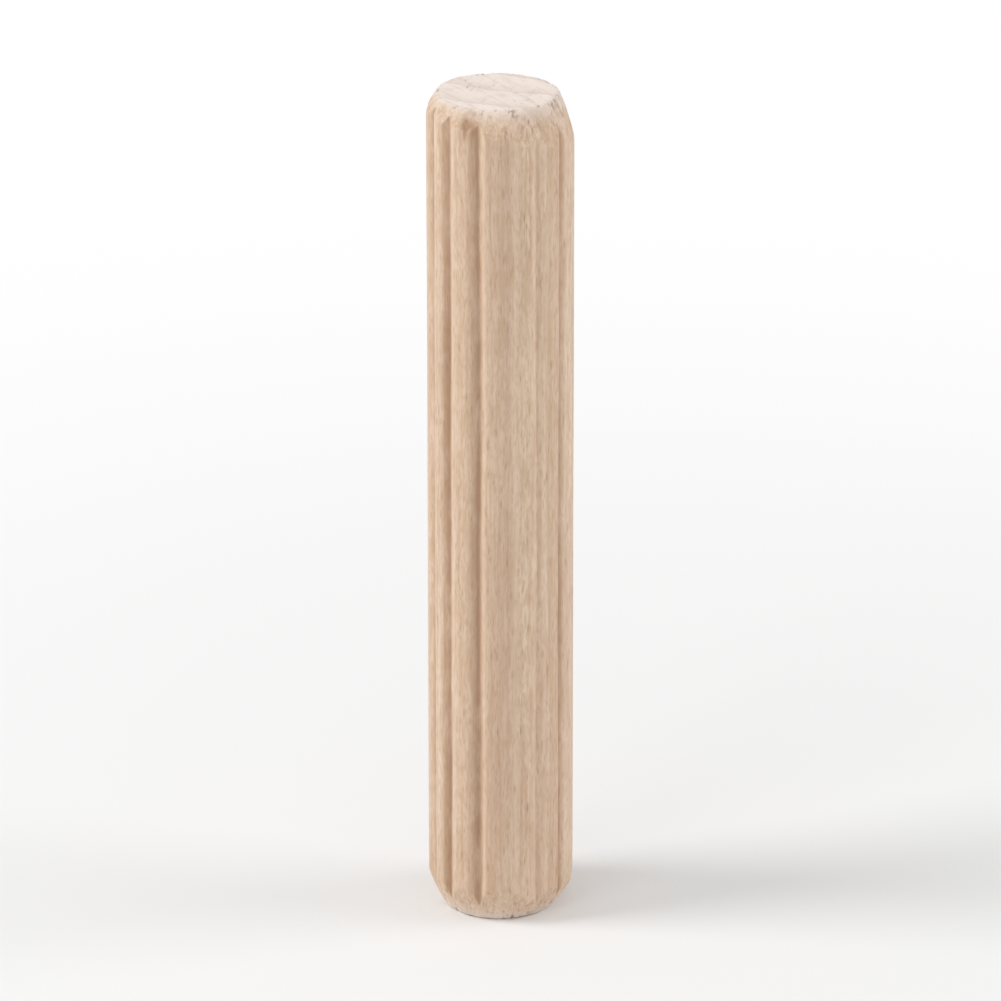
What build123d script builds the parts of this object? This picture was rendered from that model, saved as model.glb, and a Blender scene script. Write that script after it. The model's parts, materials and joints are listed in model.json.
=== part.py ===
from build123d import *

import os
from math import cos, hypot, radians, sin, sqrt

# A fluted hardwood dowel pin, standing on its lower end. It is one piece: a round rod, with flutes
# pressed along its whole length for the glue, and with both ends sawn square and then bevelled so
# that the pin finds its hole. Its axis is +Z, and the origin is the centre of the lower end.
# Lengths are in millimetres and angles in degrees.

# Rod
PIN_DIAMETER = 6.0
PIN_LENGTH = 35.0

# Flutes: V grooves with rounded lips and roots, evenly spaced round the rod
FLUTE_COUNT = 14
FLUTE_WIDTH = 0.42
FLUTE_DEPTH = 0.28
FLUTE_LIP_RADIUS = 0.15
FLUTE_ROOT_RADIUS = 0.05

# Ends: a flat, a softened rim, and a crowned bevel that meets the rod's wall at a slight angle
BEVEL_LENGTH = 1.4
BEVEL_DEPTH = 0.70
BEVEL_EDGE_ANGLE = 18.0
RIM_RADIUS = 0.20

# How far a cut reaches past the wall that it cuts
OVERRUN = 0.2

FULL_TURN = 360.0
PIN_RADIUS = PIN_DIAMETER / 2
RIM = PIN_RADIUS - BEVEL_DEPTH
FLUTE_ROOT = PIN_RADIUS - FLUTE_DEPTH


def flute():
    """One flute's V on the +X side: its mouth is on the rod's wall, and its sides run on past it."""
    half_mouth = FLUTE_WIDTH / 2
    mouth = sqrt(PIN_RADIUS**2 - half_mouth**2)
    outside = PIN_RADIUS + OVERRUN
    half_outside = half_mouth * (outside - FLUTE_ROOT) / (mouth - FLUTE_ROOT)
    return Polygon((FLUTE_ROOT, 0), (outside, -half_outside), (outside, half_outside), align=None)


def fluted_section():
    """The rod's cross-section: a circle less its flutes, with their lips and roots rounded."""
    section = Circle(PIN_RADIUS) - PolarLocations(0, FLUTE_COUNT) * flute()
    halfway_down = PIN_RADIUS - FLUTE_DEPTH / 2
    lips = section.vertices().filter_by(lambda corner: hypot(corner.X, corner.Y) > halfway_down)
    section = fillet(lips, FLUTE_LIP_RADIUS)
    roots = section.vertices().sort_by(lambda corner: hypot(corner.X, corner.Y))[:FLUTE_COUNT]
    return fillet(roots, FLUTE_ROOT_RADIUS)


def end_outline():
    """The lower end's outline from the axis outwards: flat, bevel, and a run clear of the rod's wall."""
    edge = Vector(PIN_RADIUS, BEVEL_LENGTH)
    slope = Vector(sin(radians(BEVEL_EDGE_ANGLE)), cos(radians(BEVEL_EDGE_ANGLE)))
    clear = edge + slope * (OVERRUN / slope.X)
    flat = Line((0, 0), (RIM, 0))
    bevel = TangentArc(edge, (RIM, 0), tangent=-slope)
    run = Polyline(edge, clear, (clear.X, PIN_LENGTH / 2))
    return flat + bevel + run


def turned_envelope():
    """The space inside the sawn and bevelled ends, turned about the pin's axis from a land's middle."""
    lower = end_outline()
    upper = mirror(lower, Plane.XZ.offset(-PIN_LENGTH / 2))
    axis = Line((0, 0), (0, PIN_LENGTH))
    half_section = make_face(lower + upper + axis)
    corners = half_section.vertices()
    rims = [corners.sort_by_distance((RIM, height))[0] for height in (0, PIN_LENGTH)]
    half_pitch = FULL_TURN / FLUTE_COUNT / 2
    return Rot(Z=half_pitch) * revolve(Plane.XZ * fillet(rims, RIM_RADIUS), Axis.Z)


def dowel_pin():
    """The whole pin: as much of the fluted rod as lies inside the turned ends."""
    return extrude(fluted_section(), PIN_LENGTH) & turned_envelope()


os.makedirs("parts", exist_ok=True)
export_step(dowel_pin(), "parts/dowel_pin.step")
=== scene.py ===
"""Looks of a fluted beech dowel pin that stands on its lower end.

The pin's mesh keeps the form of the CAD solid and adds what the tools leave in the wood: uneven
flutes, torn bevels, saw marks and open grain. Its material is solid wood, with growth rings, rays and
pores that run through the whole pin. Mesh sizes are in millimetres until the mesh is written.
"""

import json
from itertools import product
from math import atan2, cos, hypot, pi, radians, sin, tau
from typing import NamedTuple

import bpy
import numpy as np
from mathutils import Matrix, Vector


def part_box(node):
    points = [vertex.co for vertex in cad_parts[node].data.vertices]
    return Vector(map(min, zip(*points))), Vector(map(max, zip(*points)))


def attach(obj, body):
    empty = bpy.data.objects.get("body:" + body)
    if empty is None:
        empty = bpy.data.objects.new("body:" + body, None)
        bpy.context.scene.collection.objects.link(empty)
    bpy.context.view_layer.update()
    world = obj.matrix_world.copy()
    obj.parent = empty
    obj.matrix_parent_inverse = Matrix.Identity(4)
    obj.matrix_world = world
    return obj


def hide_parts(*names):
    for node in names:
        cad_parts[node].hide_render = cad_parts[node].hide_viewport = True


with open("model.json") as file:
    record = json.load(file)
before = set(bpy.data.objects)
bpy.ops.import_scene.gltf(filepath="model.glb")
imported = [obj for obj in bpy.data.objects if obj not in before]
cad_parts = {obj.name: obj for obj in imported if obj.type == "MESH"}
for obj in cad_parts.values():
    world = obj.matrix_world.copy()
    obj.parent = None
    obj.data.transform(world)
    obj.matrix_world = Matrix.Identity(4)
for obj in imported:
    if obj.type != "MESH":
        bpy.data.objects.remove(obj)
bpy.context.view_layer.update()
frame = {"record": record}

MM = 0.001
NODE = "dowel_pin"
PIECE = "fluted_pin"
LOWER, UPPER = 0, 1


# Noise

LATTICE_SEED = 7
LATTICE_SIZE = 64
LATTICE = np.random.default_rng(LATTICE_SEED).uniform(-1, 1, (LATTICE_SIZE,) * 3)


class Noise(NamedTuple):
    """Smooth noise from -1 to 1: its cells per millimetre, and an offset that tells it from the others."""

    frequency: float | tuple
    offset: int = 0

    def at(self, points):
        """The noise at points (..., 3)."""
        spot = points * np.asarray(self.frequency) + self.offset
        cell = np.floor(spot).astype(int)
        part = spot - cell
        part = part * part * (3 - 2 * part)
        total = 0
        for corner in product((0, 1), repeat=3):
            weight = np.prod(np.where(corner, part, 1 - part), axis=-1)
            x, y, z = np.moveaxis((cell + corner) % LATTICE_SIZE, -1, 0)
            total = total + weight * LATTICE[x, y, z]
        return total


def ramp(value, low, high):
    """A straight ramp of value, from 0 at low to 1 at high."""
    return np.clip((value - low) / (high - low), 0, 1)


def bell(value, width):
    """A bell curve of value, 1 at 0."""
    return np.exp(-((value / width) ** 2))


def smooth_least(a, b, softness):
    """The lesser of a and b, rounded where they cross."""
    return (a + b - np.hypot(a - b, softness)) / 2


# The pin's sizes, from the frame
PIN_LOW, PIN_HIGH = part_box(NODE)
SHANK = next(mount for mount in frame["record"]["mounts"] if mount["name"] == "shank")["dims"]
LENGTH = (PIN_HIGH.z - PIN_LOW.z) / MM
RADIUS = SHANK["r_mm"]
BEVEL_LENGTH = (LENGTH - SHANK["length_mm"]) / 2

# The solid's other sizes. The flutes are wider than the solid's, because their flanks are gentler
FLUTE_COUNT = 14
FLUTE_HALF_WIDTH = 0.28
FLUTE_DEPTH = 0.28
BEVEL_DEPTH = 0.70
BEVEL_EDGE_ANGLE = radians(18)
RIM_SOFTENING = 0.10

# Roundness of a flute's root, in millimetres, and of its lips, as a share of its depth
ROOT_ROUNDING = 0.03
LIP_ROUNDING_SHARE = 0.45

# How uneven the flutes are. The tables go round the pin from the flute at +X
FLUTE_SHIFT = radians(4)
FLUTE_SHIFT_SHARES = (0.2, -0.2, 0.3, 0.5, 0.2, 0.1, 0.3, 0.3, 0.0, -0.9, -0.15, -0.55, -0.6, -0.5)
FLUTE_DEPTH_SHARES = (0.95, 1.1, 0.85, 1.05, 0.95, 1.15, 0.85, 1.0, 0.9, 1.05, 1.0, 0.55, 0.8, 1.0)
FLUTE_FADE_SHARE = 0.25
FLUTE_FADE_NOISE = Noise((1, 1, 0.16), 9)
FLUTE_WANDER = 0.04
FLUTE_WANDER_NOISE = Noise((1, 1, 0.13))
QUICK_WANDER_SHARE = 0.6
QUICK_WANDER_NOISE = Noise((1, 1, 0.7), 5)

# Where the flutes' noises lie in the lattice: how far apart, and in which row
FLUTE_NOISE_GAP = 3.7
FLUTE_NOISE_ROW = 0.5

# A flute's colours, which are painted light: how much of its bottom is pale (painted highlight where the
# fill light shines into the flutes in front on the right, and a small share of plain pale tone on the
# others), how bright the painted highlight on its right lip is, and the widths of that lip and of the
# painted shade on its left, as shares of half the flute's width
FLUTE_PALE_SHARES = (0.0, 0.1, 0.0, 0.0, 0.2, 0.0, 0.1, 0.0, 0.1, 0.0, 0.0, 0.3, 0.4, 0.1)
PALE_RAMP = (-0.5, 0.5)
LIP_HIGHLIGHT_SHARE = 0.75
LIP_WIDTH_SHARE = 0.35
FLANK_SHADE_WIDTH_SHARE = 0.75

# How uneven each end's bevel is: its shares of the solid's depth and length on the right, at the back,
# on the left and in front, and how ragged its edge is
BEVEL_DEPTH_SHARES = ((1.15, 1.10, 1.00, 1.05), (0.94, 1.10, 0.64, 1.10))
BEVEL_LENGTH_SHARES = ((0.91, 0.97, 1.13, 1.07), (1.60, 1.10, 0.60, 0.70))
RAGGED_SHARE = 0.08
RAG_NOISE = Noise(0.6, 11)
FINE_RAG_NOISE = Noise(4.0, 23)

# How soft the edge between a bevel and the wall is, and how fast the pale end grain fades down a bevel
EDGE_SOFTENING = 0.025
END_ON_POWER = 4

# The wall's relief: out of round, and with raised fibres
OUT_OF_ROUND = 0.02
ROUND_NOISE = Noise((0.35, 0.35, 0.05), 31)
FIBRE_RELIEF = 0.005
FIBRE_NOISE = Noise((7, 7, 0.22), 3)
FINE_FIBRE_RELIEF = 0.003
FINE_FIBRE_NOISE = Noise((16, 16, 0.5), 17)

# The torn wood on the bevels: how deep its pits are, where they lie, and how rough it is between them
TEAR_RELIEF = 0.055
TEAR_NOISE = Noise((6, 6, 1.2), 41)
FINE_TEAR_SHARE = 0.7
FINE_TEAR_NOISE = Noise((13, 13, 2.6), 43)
TEAR_PATCH_SHARE = 0.4
TEAR_PATCH_NOISE = Noise(0.9, 47)
TEAR_PIT_RAMP = (0.45, 1.05)
TEAR_DEPTH_SHARE = 0.2
TEAR_SWING_SHARE = 0.25
TEAR_SWING_LIMIT = 0.8

# A larger torn spot on the upper bevel, left of the front: its angle, its distance below the end, its
# size, and how much of it is a pit
SPOT_ANGLE = radians(248)
SPOT_DROP = 0.60
SPOT_WIDTH = 0.36
SPOT_HEIGHT = 0.46
SPOT_FILL_SHARE = 0.90
SPOT_TEAR_SHARE = 0.96

# The sawn ends: how deep the saw's marks are, how they run, and where the face is rough and pitted
SAW_RELIEF = 0.010
SAW_PITCH = 0.12
SAW_DIRECTION = np.array([0.8, 0.6, 0.0])
SAW_LINE_NOISE = Noise(1 / SAW_PITCH, 5)
SAW_WAVER = 0.25
SAW_WAVER_NOISE = Noise(0.9, 2)
SAW_EVEN_SHARE = 0.6
SAW_PATCH_NOISE = Noise(1.1, 6)
ROUGH_SHARE = 0.8
ROUGH_NOISE = Noise(6, 3)
FINE_ROUGH_SHARE = 0.9
FINE_ROUGH_NOISE = Noise(14, 8)
FACE_PIT_SHARE = 0.5
FACE_PIT_NOISE = Noise(0.8, 12)
FACE_PIT_RAMP = (1.12, 1.62)
FACE_DEPTH_SHARE = 0.8
FACE_SAW_SHARE = 0.5
FACE_ROUGH_SHARE = 0.4
FACE_DEPTH_LIMIT = 3

# Mesh resolution. The run is the stretch past a bevel, where its outline stays clear of the wall
COLUMNS_PER_FLUTE = 32
COLUMNS = FLUTE_COUNT * COLUMNS_PER_FLUTE
FLUTE_COLUMN_SHARE = 0.55
RIM_ROWS = 4
CROWN_ROWS = 32
RUN_ROWS = 7
RUN_LENGTH = 1.1
RUN_GROWTH_POWER = 1.6
BODY_ROWS = 72
CAP_RINGS = COLUMNS // 8
CHIP_RINGS = 8
RIM_BLEND_RINGS = 6

# What the material reads at each point: how much painted shade it has in a flute's hollow, how much
# painted highlight on a flute's right lip and pale bottom, how much painted shade on a flute's left flank,
# how much it is on a bevel and in a pit, and how much it faces along the grain
SHARES = ("hollow", "painted_highlight", "flank_shade", "bevel", "pit", "end_on")

# Where the side and the ends lie on the texture map, which is 1 wide and high. Rows that are close
# together get more room than their share of the length
MAP_NAME = "OFBake"
MAP_MARGIN = 0.004
MAP_CAP_SIZE = 0.22
MAP_ROW_POWER = 0.6


# The pin's side

def column_angles():
    """Each column's angle round the pin, its flute and its place in it. Columns are closer in flutes."""
    flute = np.repeat(np.arange(FLUTE_COUNT), COLUMNS_PER_FLUTE)
    place = np.tile(np.arange(COLUMNS_PER_FLUTE) / COLUMNS_PER_FLUTE - 1 / 2, FLUTE_COUNT)
    place = place * (FLUTE_COLUMN_SHARE + (1 - FLUTE_COLUMN_SHARE) * (2 * place) ** 2)
    pitch = tau / FLUTE_COUNT
    return flute * pitch + place * pitch, flute, place * pitch


def ring_points(angle, radius, height):
    """Points on cylinders round the pin's axis."""
    return np.stack(np.broadcast_arrays(radius * np.cos(angle), radius * np.sin(angle), height), axis=-1)


def end_outline():
    """The lower end's outline, from its flat to past its bevel: each row's depth, height and slope."""
    chord = atan2(BEVEL_DEPTH, BEVEL_LENGTH)
    crown_radius = hypot(BEVEL_DEPTH, BEVEL_LENGTH) / (2 * sin(chord - BEVEL_EDGE_ANGLE))
    rim_angle = 2 * chord - BEVEL_EDGE_ANGLE
    start_angle = rim_angle - RIM_SOFTENING / crown_radius
    angle = np.linspace(start_angle, BEVEL_EDGE_ANGLE, CROWN_ROWS)
    crown_depth = crown_radius * (cos(BEVEL_EDGE_ANGLE) - np.cos(angle))
    crown_height = BEVEL_LENGTH - crown_radius * (np.sin(angle) - sin(BEVEL_EDGE_ANGLE))
    step = np.arange(RIM_ROWS) / RIM_ROWS
    rim_depth = (1 - step) ** 2 * RIM_SOFTENING + (1 - step**2) * BEVEL_DEPTH + step**2 * crown_depth[0]
    rim_height = step**2 * crown_height[0]
    rim_slope = pi / 2 + step * (start_angle - pi / 2)
    run = RUN_LENGTH * (np.arange(1, RUN_ROWS + 1) / RUN_ROWS) ** RUN_GROWTH_POWER
    depth = np.concatenate([rim_depth, crown_depth, -run * sin(BEVEL_EDGE_ANGLE)])
    height = np.concatenate([rim_height, crown_height, BEVEL_LENGTH + run * cos(BEVEL_EDGE_ANGLE)])
    slope = np.concatenate([rim_slope, angle, np.full_like(run, BEVEL_EDGE_ANGLE)])
    return depth[:, None], height[:, None], slope[:, None]


def round_the_pin(angle, shares):
    """A smooth course through four shares: on the right, at the back, on the left and in front."""
    right, back, left, front = shares
    sideways = (right - left) / 2 * np.cos(angle) + (back - front) / 2 * np.sin(angle)
    oval = (right + left - back - front) / 4 * np.cos(2 * angle)
    return np.mean(shares) + sideways + oval


def bevel_shares(angle, end):
    """The bevel's depth and length at each angle, as shares of the solid's, with a ragged edge."""
    spots = ring_points(angle, RADIUS, LENGTH * end)
    ragged = RAGGED_SHARE * (RAG_NOISE.at(spots) + FINE_RAG_NOISE.at(spots))
    depth = round_the_pin(angle, BEVEL_DEPTH_SHARES[end])
    return depth, round_the_pin(angle, BEVEL_LENGTH_SHARES[end]) + ragged


def flute_course(flute, height):
    """How far each flute strays round the pin, as an angle, and its depth as a share of the solid's."""
    along = np.stack(np.broadcast_arrays(flute * FLUTE_NOISE_GAP, FLUTE_NOISE_ROW, height), axis=-1)
    quick = QUICK_WANDER_SHARE * QUICK_WANDER_NOISE.at(along)
    wander = FLUTE_WANDER * (FLUTE_WANDER_NOISE.at(along) + quick)
    shift = FLUTE_SHIFT * np.array(FLUTE_SHIFT_SHARES)[flute]
    fade = 1 + FLUTE_FADE_SHARE * FLUTE_FADE_NOISE.at(along)
    return shift + wander / RADIUS, np.array(FLUTE_DEPTH_SHARES)[flute] * fade


def flute_profile(place):
    """How far each column is into its flute: 0 on the lips, nearly 1 at the root, below 0 outside."""
    return 1 - np.hypot(place * RADIUS, ROOT_ROUNDING) / FLUTE_HALF_WIDTH


def rod_wall(angle, flute, place, height):
    """The fluted wall's angle and radius, and how deep in a flute each point is, as a share."""
    shift, depth = flute_course(flute, height)
    angle = angle + shift * np.cos(place * FLUTE_COUNT / 2) ** 2
    into = flute_profile(place)
    hollow = (into + np.hypot(into, LIP_ROUNDING_SHARE)) / 2 * depth
    spots = ring_points(angle, RADIUS, height)
    swell = OUT_OF_ROUND * (ROUND_NOISE.at(spots) - 1)
    fibre = FIBRE_RELIEF * (FIBRE_NOISE.at(spots) - 1)
    fine_fibre = FINE_FIBRE_RELIEF * (FINE_FIBRE_NOISE.at(spots) - 1)
    return angle, RADIUS - FLUTE_DEPTH * hollow + swell + fibre + fine_fibre, hollow


def flute_colours(flute, place, hollow):
    """How much each point has of its flute's painted shade in the hollow, of the painted highlight on the
    right lip and pale bottom, and of the painted shade on the left flank.
    """
    into = flute_profile(place)
    # A pale bottom is painted highlight on the flutes in front on the right, where the fill light shines
    # in
    pale = np.array(FLUTE_PALE_SHARES)[flute]
    right = ramp(place * RADIUS, -FLUTE_HALF_WIDTH / 2, FLUTE_HALF_WIDTH / 2)
    # Painted highlight on the right lip, which faces the key light on the left
    painted_highlight = LIP_HIGHLIGHT_SHARE * right * bell(into, LIP_WIDTH_SHARE)
    # Painted shade on the left flank, which faces away from the key light
    flank_shade = np.array(FLUTE_DEPTH_SHARES)[flute] * (1 - pale) * (1 - right) * bell(into, FLANK_SHADE_WIDTH_SHARE)
    # Painted shade in the hollow, darker the deeper the flute
    return np.clip(hollow * (1 - pale), 0, 1), np.maximum(painted_highlight, pale * ramp(into, *PALE_RAMP)), flank_shade


def torn_wood(angle, radius, height, bevel, near_flat):
    """How much each point is in a pit of torn wood, and how deep the wood is torn there."""
    spots = ring_points(angle, radius, height)
    torn = TEAR_NOISE.at(spots) + FINE_TEAR_SHARE * FINE_TEAR_NOISE.at(spots)
    patches = TEAR_PATCH_SHARE * TEAR_PATCH_NOISE.at(spots)
    pit = bevel * near_flat * ramp(torn + patches, *TEAR_PIT_RAMP)
    across = bell((angle - SPOT_ANGLE) * RADIUS, SPOT_WIDTH)
    along = bell(height - LENGTH + SPOT_DROP, SPOT_HEIGHT)
    spot = across * along * (SPOT_FILL_SHARE + SPOT_TEAR_SHARE * torn)
    pit = np.maximum(pit, np.clip(spot, 0, 1))
    swing = TEAR_SWING_SHARE * np.clip(torn, -TEAR_SWING_LIMIT, TEAR_SWING_LIMIT)
    return pit, TEAR_RELIEF * (pit + bevel * (TEAR_DEPTH_SHARE + swing))


def side_grid():
    """The side's points, as rows up the pin, and each point's shares for the material."""
    angle, flute, place = column_angles()
    depth, height, slope = end_outline()
    near_flat = np.clip(1 - height / BEVEL_LENGTH, 0, 1)
    low_depth, low_length = bevel_shares(angle, LOWER)
    high_depth, high_length = bevel_shares(angle, UPPER)
    lower = height * low_length
    upper = LENGTH - (height * high_length)[::-1]
    steps = np.linspace(0, 1, BODY_ROWS + 2)[1:-1, None]
    body = lower[-1] + steps * (upper[0] - lower[-1])
    clear = np.full_like(body, -RUN_LENGTH)
    envelope = RADIUS - np.concatenate([depth * low_depth, clear, (depth * high_depth)[::-1]])
    height = np.concatenate([lower, body, upper])
    level = np.zeros_like(steps)
    slope = np.concatenate([slope, level, -slope[::-1]])
    near_flat = np.concatenate([near_flat, level, near_flat[::-1]])
    angle, wall, hollow = rod_wall(angle, flute, place, height)
    bevel = ramp(wall - envelope, -EDGE_SOFTENING, EDGE_SOFTENING)
    radius = smooth_least(wall, envelope, EDGE_SOFTENING)
    pit, cut = torn_wood(angle, radius, height, bevel, near_flat)
    points = ring_points(angle, radius - cut * np.cos(slope), height + cut * np.sin(slope))
    on_wall = [share * (1 - bevel) for share in flute_colours(flute, place, hollow)]
    return points, np.stack([*on_wall, bevel, pit, bevel * near_flat**END_ON_POWER], axis=-1)


# The pin's ends

def cap_rings():
    """A cap's grid of square rings: each point's ring from the middle, and its column on the rim."""
    span = np.arange(-CAP_RINGS, CAP_RINGS + 1)
    x, y = np.meshgrid(span, span, indexing="ij")
    ring = np.maximum(abs(x), abs(y))
    sides = [(x == ring) & (y < ring), (y == ring) & (x > -ring), (x == -ring) & (y > -ring)]
    step = np.select(sides, [y + ring, 3 * ring - x, 5 * ring - y], 7 * ring + x)
    return ring, step * CAP_RINGS / np.maximum(ring, 1)


def sawn_face(points, inside):
    """How much each point of an end is in a pit, and how deep the saw has cut there."""
    across = points @ SAW_DIRECTION + SAW_WAVER * SAW_WAVER_NOISE.at(points)
    lines = SAW_LINE_NOISE.at(across[..., None] * [1, 0, 0])
    saw = lines * (SAW_EVEN_SHARE + SAW_PATCH_NOISE.at(points))
    rough = ROUGH_SHARE * ROUGH_NOISE.at(points) + FINE_ROUGH_SHARE * FINE_ROUGH_NOISE.at(points)
    pit = inside * ramp(rough + FACE_PIT_SHARE * FACE_PIT_NOISE.at(points), *FACE_PIT_RAMP)
    depth = FACE_DEPTH_SHARE + FACE_SAW_SHARE * saw + FACE_ROUGH_SHARE * rough + pit
    return pit, SAW_RELIEF * inside * np.clip(depth, 0, FACE_DEPTH_LIMIT)


def cap_grid(rim, end):
    """An end's flat as square rings that shrink from the rim to the middle, with the saw's marks.

    Returns the points, each one's column on the rim, its ring and its shares for the material.
    """
    ring, column = cap_rings()
    before = np.floor(column).astype(int) % COLUMNS
    part = (column % 1)[..., None]
    edge = rim[before] * (1 - part) + rim[(before + 1) % COLUMNS] * part
    middle = rim.mean(axis=0)
    points = middle + (edge - middle) * (ring / CAP_RINGS)[..., None]
    plane = LENGTH * end
    chipped = np.clip(1 - (CAP_RINGS - ring) / CHIP_RINGS, 0, 1) ** 2
    points[..., 2] = plane + (edge[..., 2] - plane) * chipped
    pit, cut = sawn_face(points, np.clip((CAP_RINGS - ring) / RIM_BLEND_RINGS, 0, 1))
    points[..., 2] += cut if end == LOWER else -cut
    shares = np.zeros((*ring.shape, len(SHARES)))
    shares[..., SHARES.index("pit")] = pit
    shares[..., SHARES.index("end_on")] = 1
    return points, before, ring, shares


# The pin's mesh

def side_map(side):
    """The side's places on the texture map, with the first column again after the last."""
    climb = np.linalg.norm(np.diff(side, axis=0), axis=-1).mean(axis=1) ** MAP_ROW_POWER
    up = np.concatenate([[0], np.cumsum(climb)]) / climb.sum()
    low = MAP_CAP_SIZE + 2 * MAP_MARGIN
    u = np.linspace(MAP_MARGIN, 1 - MAP_MARGIN, COLUMNS + 1)
    v = low + up * (1 - MAP_MARGIN - low)
    return np.stack(np.meshgrid(u, v), axis=-1)


def cap_map(end):
    """A cap's places on the texture map, a square below the side's."""
    steps = MAP_MARGIN + MAP_CAP_SIZE * np.linspace(0, 1, 2 * CAP_RINGS + 1)
    return np.stack(np.meshgrid(steps + end * (MAP_CAP_SIZE + MAP_MARGIN), steps, indexing="ij"), axis=-1)


def cell_corners(grid):
    """The corners of each cell of a grid, in order round the cell."""
    return np.stack([grid[:-1, :-1], grid[:-1, 1:], grid[1:, 1:], grid[1:, :-1]], axis=2)


def pin_mesh():
    """The pin's whole mesh: the side, and a cap on each end that shares its rim with the side."""
    side, side_shares = side_grid()
    rows = len(side)
    side_index = np.arange(rows * COLUMNS).reshape(rows, COLUMNS)
    points = [side.reshape(-1, 3)]
    shares = [side_shares.reshape(-1, len(SHARES))]
    quads = [cell_corners(np.append(side_index, side_index[:, :1], axis=1)).reshape(-1, 4)]
    places = [cell_corners(side_map(side)).reshape(-1, 2)]
    count = rows * COLUMNS
    for end in (LOWER, UPPER):
        row = -end
        grid, column, ring, cap_shares = cap_grid(side[row], end)
        inner = ring < CAP_RINGS
        index = side_index[row][column]
        index[inner] = count + np.arange(inner.sum())
        count += inner.sum()
        points.append(grid[inner])
        shares.append(cap_shares[inner])
        place = cap_map(end)
        if end == UPPER:
            index = index.T
            place = place.swapaxes(0, 1)
        quads.append(cell_corners(index).reshape(-1, 4))
        places.append(cell_corners(place).reshape(-1, 2))
    mesh = bpy.data.meshes.new(PIECE)
    mesh.from_pydata((np.concatenate(points) * MM).tolist(), [], np.concatenate(quads).tolist())
    for name, values in zip(SHARES, np.concatenate(shares).T):
        attribute = mesh.attributes.new(name, "FLOAT", "POINT")
        attribute.data.foreach_set("value", np.ascontiguousarray(values, np.float32))
    mesh.uv_layers.new(name=MAP_NAME).data.foreach_set("uv", np.concatenate(places).ravel())
    mesh.shade_smooth()
    return mesh


# Materials

def srgb(red, green, blue):
    """A colour given as it looks on a screen, from 0 to 255, in the linear values that shaders take."""
    screen = np.array([red, green, blue]) / 255
    linear = np.where(screen <= 0.04045, screen / 12.92, ((screen + 0.055) / 1.055) ** 2.4)
    return (*linear.tolist(), 1.0)


class Mark(NamedTuple):
    """A pattern in the wood's colour.

    It has its cells per millimetre, how fine its noise is, the values of the noise at which it starts and
    is full, and how much of its colour it has there.
    """

    scale: tuple
    detail: float = 2.0
    start: float = 0.0
    full: float = 1.0
    share: float = 1.0


class Graph:
    """A node tree, with short calls that add a node, feed its inputs and return one of its outputs."""

    def __init__(self, tree):
        self.tree = tree
        self.tree.nodes.clear()

    def feed(self, socket, value):
        if isinstance(value, bpy.types.NodeSocket):
            self.tree.links.new(value, socket)
        else:
            socket.default_value = value

    def add(self, kind, inputs=(), output=0, **settings):
        node = self.tree.nodes.new("ShaderNode" + kind)
        for name, value in settings.items():
            setattr(node, name, value)
        for name, value in dict(inputs).items():
            self.feed(node.inputs[name], value)
        return node.outputs[output]

    def show(self, surface, kind="OutputMaterial"):
        """Makes surface the tree's result."""
        self.feed(self.tree.nodes.new("ShaderNode" + kind).inputs["Surface"], surface)

    def math(self, operation, *values):
        return self.add("Math", enumerate(values), operation=operation)

    def times(self, first, *others):
        for other in others:
            first = self.math("MULTIPLY", first, other)
        return first

    def plus(self, first, *others):
        for other in others:
            first = self.math("ADD", first, other)
        return first

    def vector(self, operation, *values, output=0):
        return self.add("VectorMath", enumerate(values), output, operation=operation)

    def step(self, value, low, high):
        """A smooth step of value, from 0 at low to 1 at high."""
        inputs = {"Value": value, "From Min": low, "From Max": high}
        return self.add("MapRange", inputs, interpolation_type="SMOOTHSTEP")

    def noise(self, place, mark, output="Fac"):
        """A mark's noise at each place."""
        spot = self.vector("MULTIPLY", place, mark.scale)
        return self.add("TexNoise", {"Vector": spot, "Scale": 1.0, "Detail": mark.detail}, output)

    def spread(self, value, mark):
        """How far a mark shows, without its share, where its noise has this value."""
        return self.step(value, mark.start, mark.full)

    def cover(self, value, mark):
        """How much of a mark's colour to mix in where its noise has this value."""
        return self.times(self.spread(value, mark), mark.share)

    def flecks(self, place, mark):
        """How far a mark of many scattered flecks shows at each place, without its share."""
        spot = self.vector("MULTIPLY", place, mark.scale)
        return self.spread(self.add("TexVoronoi", {"Vector": spot, "Scale": 1.0}, "Distance"), mark)

    def mix(self, share, a, b):
        return self.add("Mix", {0: share, 6: a, 7: b}, 2, data_type="RGBA")


def new_material(name):
    material = bpy.data.materials.new(name)
    material.use_nodes = True
    return material, Graph(material.node_tree)


# Beech, as it looks on a screen
PALE = srgb(228, 204, 180)
ROSE = srgb(221, 193, 171)
TAN = srgb(194, 160, 127)
RAY_BROWN = srgb(170, 130, 98)
PORE_BROWN = srgb(150, 114, 86)
# Painted shade in the flutes' hollows
HOLLOW_SHADE_BROWN = srgb(178, 143, 113)
# Painted highlight on the flutes' right lips and pale bottoms
HIGHLIGHT_PALE = srgb(236, 214, 191)
END_GRAIN = srgb(238, 227, 219)
END_SHADE = srgb(186, 160, 143)
TORN_PALE = srgb(236, 217, 196)
PIT_BROWN = srgb(146, 104, 70)

# Growth rings, which are darker at their outer edges, and how far the grain drifts off a straight line
RING_CENTRE = (5.0, 18.1, 0.0)
RING_SPACING = 1.7
LATE_WOOD_POWER = 3.0
LATE_WOOD_SHARE = 0.45
DRIFT = (0.8, 0.8, 0.0)
DRIFT_MARK = Mark((0.25, 0.25, 0.05))
NOISE_MIDDLE = (0.5, 0.5, 0.5)

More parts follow.
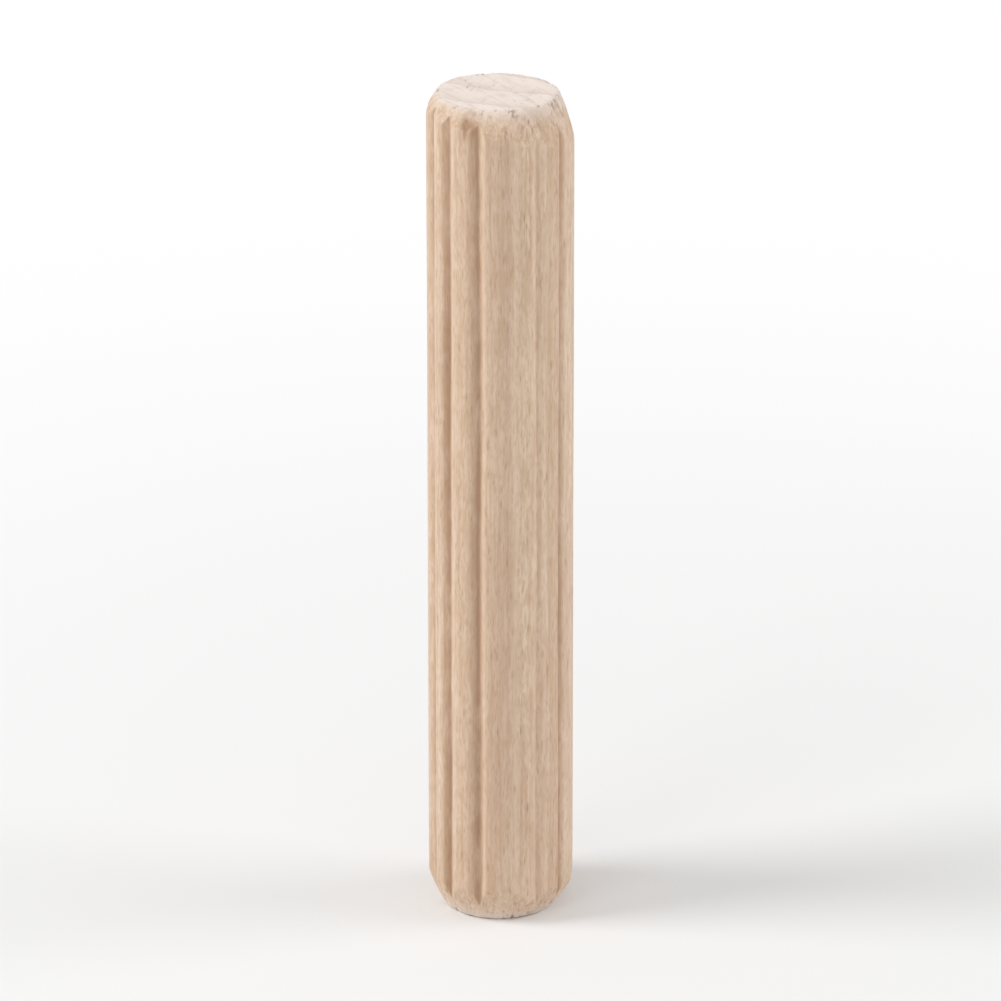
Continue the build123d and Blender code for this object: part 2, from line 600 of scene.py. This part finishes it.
# Marks across and along the grain. A ray's scale runs out from the rings' centre, round it and along
BROAD_MARK = Mark((1.1, 1.1, 0.06), detail=3.0, start=0.35, full=0.65)
STREAK_MARK = Mark((7.0, 7.0, 0.22), detail=4.0, start=0.40, full=0.75, share=0.60)
FIBRE_MARK = Mark((22.0, 22.0, 0.9), start=0.40, full=0.80, share=0.35)
PATCH_MARK = Mark((2.2, 2.2, 0.8), start=0.40, full=0.70, share=0.35)
MOTTLE_MARK = Mark((9.0, 9.0, 2.4), start=0.42, full=0.68, share=0.50)
RAY_MARK = Mark((0.8, 5.0, 0.9), start=0.28, full=0.08, share=0.55)
RAY_STREAK_RANGE = (0.30, 0.65)
PORE_MARK = Mark((10.0, 10.0, 1.2), start=0.28, full=0.10, share=0.35)

# Sawn ends and torn bevels
SAWN_RANGE = (0.8, 1.0)
SAW_MARK = Mark((4.0, 0.0, 0.0), detail=3.0, start=0.90, full=1.25, share=0.28)
BLOTCH_MARK = Mark((1.2, 1.2, 0.0), detail=3.0)
FUZZ_MARK = Mark((11.0, 11.0, 1.6), detail=3.0, start=0.46, full=0.74, share=0.40)
END_GRAIN_SHARE = 0.85
END_RING_SHARE = 0.30
END_RAY_SHARE = 0.25
PIT_SHARE = 0.60

# Flutes: painted shade on the left flanks and in the hollows, and painted highlight on the right lips and
# pale bottoms
FLANK_SHADE_SHARE = 0.42
FLANK_SHADE_PATCH_RANGE = (0.25, 0.60)
HIGHLIGHT_SHARE = 0.32
HOLLOW_SHADE_SHARE = 0.90
HOLLOW_SHADE_RANGE = (0.25, 1.00)
HOLLOW_SHADE_PATCH_RANGE = (0.05, 0.65)

# Bump, as shares of its height, which is in millimetres, and finish
STREAK_BUMP_SHARE = 0.4
FIBRE_BUMP_SHARE = 0.5
PORE_BUMP_SHARE = -0.5
FUZZ_BUMP_SHARE = 1.5
BUMP_HEIGHT = 0.012
BUMP_STRENGTH = 0.6
SMOOTH_ROUGHNESS = 0.58
TORN_ROUGHNESS_ADDED = 0.25
SHEEN_WEIGHT = 0.15
SHEEN_ROUGHNESS = 0.5


def grain_places(g):
    """Each point's place in the wood, its distance from the rings' centre and its place among the rays."""
    place = g.vector("MULTIPLY", g.add("TexCoord", output="Object"), (1 / MM,) * 3)
    drift = g.vector("SUBTRACT", g.noise(place, DRIFT_MARK, "Color"), NOISE_MIDDLE)
    place = g.vector("ADD", place, g.vector("MULTIPLY", drift, DRIFT))
    from_centre = g.vector("SUBTRACT", place, RING_CENTRE)
    radial = g.vector("LENGTH", g.vector("MULTIPLY", from_centre, (1, 1, 0)), output="Value")
    split = g.tree.nodes.new("ShaderNodeSeparateXYZ")
    g.feed(split.inputs[0], from_centre)
    turn = g.math("ARCTAN2", split.outputs["Y"], split.outputs["X"])
    tangential = g.math("MULTIPLY", turn, hypot(*RING_CENTRE))
    ray_place = g.add("CombineXYZ", {"X": radial, "Y": tangential, "Z": split.outputs["Z"]})
    return place, radial, ray_place


def beech():
    """Bare beech: rings, rays and pores run through the wood, and flutes, bevels and sawn ends differ."""
    material, g = new_material("beech")
    shares = [g.add("Attribute", output="Fac", attribute_name=name) for name in SHARES]
    hollow, painted_highlight, flank_shade, bevel, pit, end_on = shares
    place, radial, ray_place = grain_places(g)
    ring = g.math("FRACT", g.math("DIVIDE", radial, RING_SPACING))
    late = g.math("POWER", ring, LATE_WOOD_POWER)
    broad = g.noise(place, BROAD_MARK)
    streak = g.noise(place, STREAK_MARK)
    fibre = g.noise(place, FIBRE_MARK)
    patch = g.noise(place, PATCH_MARK)
    mottle = g.noise(place, MOTTLE_MARK)
    ray = g.flecks(ray_place, RAY_MARK)
    pore = g.flecks(place, PORE_MARK)
    fuzz = g.spread(g.noise(place, FUZZ_MARK), FUZZ_MARK)
    sawn = g.step(end_on, *SAWN_RANGE)
    across = g.vector("DOT_PRODUCT", place, SAW_DIRECTION, output="Value")
    saw_lines = g.noise(g.add("CombineXYZ", {"X": across}), SAW_MARK)
    saw = g.plus(saw_lines, g.noise(place, BLOTCH_MARK))
    # Painted shade, darker the deeper into a flute
    hollow_shade = g.step(hollow, *HOLLOW_SHADE_RANGE)

    layers = [
        (g.cover(streak, STREAK_MARK), TAN),
        (g.cover(fibre, FIBRE_MARK), TAN),
        (g.cover(patch, PATCH_MARK), TAN),
        (g.cover(mottle, MOTTLE_MARK), TAN),
        (g.times(late, LATE_WOOD_SHARE), TAN),
        (g.times(ray, g.step(streak, *RAY_STREAK_RANGE), RAY_MARK.share), RAY_BROWN),
        (g.times(pore, PORE_MARK.share), PORE_BROWN),
        (g.times(end_on, END_GRAIN_SHARE), END_GRAIN),
        (g.times(end_on, late, END_RING_SHARE), END_SHADE),
        (g.times(end_on, ray, END_RAY_SHARE), END_SHADE),
        (g.times(sawn, g.cover(saw, SAW_MARK)), END_SHADE),
        (g.times(bevel, fuzz, FUZZ_MARK.share), TORN_PALE),
        (g.times(pit, PIT_SHARE), PIT_BROWN),
        # Painted shade on the flutes' left flanks
        (g.times(flank_shade, g.step(patch, *FLANK_SHADE_PATCH_RANGE), FLANK_SHADE_SHARE), TAN),
        # Painted highlight on the flutes' right lips and pale bottoms
        (g.times(painted_highlight, HIGHLIGHT_SHARE), HIGHLIGHT_PALE),
        # Painted shade in the flutes' hollows
        (g.times(hollow_shade, g.step(patch, *HOLLOW_SHADE_PATCH_RANGE), HOLLOW_SHADE_SHARE), HOLLOW_SHADE_BROWN),
    ]
    colour = g.mix(g.spread(broad, BROAD_MARK), PALE, ROSE)
    for share, tint in layers:
        colour = g.mix(share, colour, tint)

    grain = g.plus(g.times(streak, STREAK_BUMP_SHARE), g.times(fibre, FIBRE_BUMP_SHARE))
    relief = g.plus(grain, g.times(pore, PORE_BUMP_SHARE), g.times(bevel, fuzz, FUZZ_BUMP_SHARE))
    bump = {"Height": relief, "Strength": BUMP_STRENGTH, "Distance": BUMP_HEIGHT * MM}
    torn = g.math("MAXIMUM", sawn, bevel)
    shader = {
        "Base Color": colour,
        "Roughness": g.plus(g.times(torn, TORN_ROUGHNESS_ADDED), SMOOTH_ROUGHNESS),
        "Normal": g.add("Bump", bump),
        "Sheen Weight": SHEEN_WEIGHT,
        "Sheen Roughness": SHEEN_ROUGHNESS,
    }
    g.show(g.add("BsdfPrincipled", shader))
    return material


# The pin

def make_pin():
    pin = bpy.data.objects.new(PIECE, pin_mesh())
    bpy.context.scene.collection.objects.link(pin)
    pin.data.materials.append(beech())
    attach(pin, "root")
    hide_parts(NODE)


# The studio, in metres. The floor fades to white between two distances from the pin

CAMERA_AZIMUTH = radians(5)
CAMERA_ELEVATION = radians(22)
CAMERA_DISTANCE = 0.40
FRAME_HEIGHT_SHARE = 0.86
FLOOR_SIZE = 4.0
FLOOR_COLOUR = (0.88, 0.88, 0.88, 1.0)
FLOOR_FADE = (0.015, 0.085)
WHITE = (1.0, 1.0, 1.0, 1.0)
WHITE_STRENGTH = 1.0
SKY_STRENGTH = 0.55
PIN_MIDDLE = Vector((0, 0, LENGTH * MM / 2))


def around_pin(azimuth, elevation, distance):
    """A place round the pin's middle. Azimuth 0 is in front, on the -Y side, and grows to the right."""
    level = distance * cos(elevation)
    return PIN_MIDDLE + Vector((level * sin(azimuth), -level * cos(azimuth), distance * sin(elevation)))


def aim_at_pin(thing):
    thing.rotation_euler = (PIN_MIDDLE - thing.location).to_track_quat("-Z", "Y").to_euler()


def make_camera():
    data = bpy.data.cameras.new("camera")
    camera = bpy.data.objects.new("camera", data)
    bpy.context.scene.collection.objects.link(camera)
    camera.location = around_pin(CAMERA_AZIMUTH, CAMERA_ELEVATION, CAMERA_DISTANCE)
    aim_at_pin(camera)
    seen = (LENGTH * cos(CAMERA_ELEVATION) + 2 * RADIUS * sin(CAMERA_ELEVATION)) * MM
    data.lens = data.sensor_width * CAMERA_DISTANCE * FRAME_HEIGHT_SHARE / seen
    bpy.context.scene.camera = camera


def soft_light(name, azimuth, elevation, distance, size, watts):
    data = bpy.data.lights.new(name, "AREA")
    data.shape = "DISK"
    data.size = size
    data.energy = watts
    light = bpy.data.objects.new(name, data)
    bpy.context.scene.collection.objects.link(light)
    light.location = around_pin(radians(azimuth), radians(elevation), distance)
    aim_at_pin(light)


def make_lights():
    soft_light("key", azimuth=-78, elevation=40, distance=0.5, size=0.22, watts=1.15)
    soft_light("front", azimuth=-32, elevation=25, distance=0.6, size=0.30, watts=0.35)
    soft_light("fill", azimuth=95, elevation=25, distance=0.6, size=0.40, watts=1.20)
    soft_light("top", azimuth=-10, elevation=80, distance=0.5, size=0.30, watts=0.12)


def seen_directly(g):
    """1 for the camera and for what mirrors and glass show it, and 0 for light."""
    path = g.tree.nodes.new("ShaderNodeLightPath").outputs
    mirrored = g.math("MAXIMUM", path["Is Glossy Ray"], path["Is Transmission Ray"])
    return g.math("MAXIMUM", path["Is Camera Ray"], mirrored)


def make_floor():
    """A plain pale floor, which goes over to the white background away from the pin."""
    material, g = new_material("floor")
    distance = g.vector("LENGTH", g.add("TexCoord", output="Object"), output="Value")
    white = g.times(g.step(distance, *FLOOR_FADE), seen_directly(g))
    matt = g.add("BsdfDiffuse", {"Color": FLOOR_COLOUR})
    glow = g.add("Emission", {"Color": WHITE, "Strength": WHITE_STRENGTH})
    g.show(g.add("MixShader", {0: white, 1: matt, 2: glow}))
    half = FLOOR_SIZE / 2
    corners = [(-half, -half, 0), (half, -half, 0), (half, half, 0), (-half, half, 0)]
    mesh = bpy.data.meshes.new("floor")
    mesh.from_pydata(corners, [], [(0, 1, 2, 3)])
    mesh.materials.append(material)
    floor = bpy.data.objects.new("floor", mesh)
    bpy.context.scene.collection.objects.link(floor)


def make_sky():
    """Even light from all round, and a white background where it is seen directly."""
    world = bpy.data.worlds.new("sky")
    world.use_nodes = True
    bpy.context.scene.world = world
    g = Graph(world.node_tree)
    strength = g.plus(g.times(seen_directly(g), WHITE_STRENGTH - SKY_STRENGTH), SKY_STRENGTH)
    g.show(g.add("Background", {"Color": WHITE, "Strength": strength}), "OutputWorld")


make_pin()
make_camera()
make_lights()
make_floor()
make_sky()
bpy.context.scene.view_settings.view_transform = "Standard"
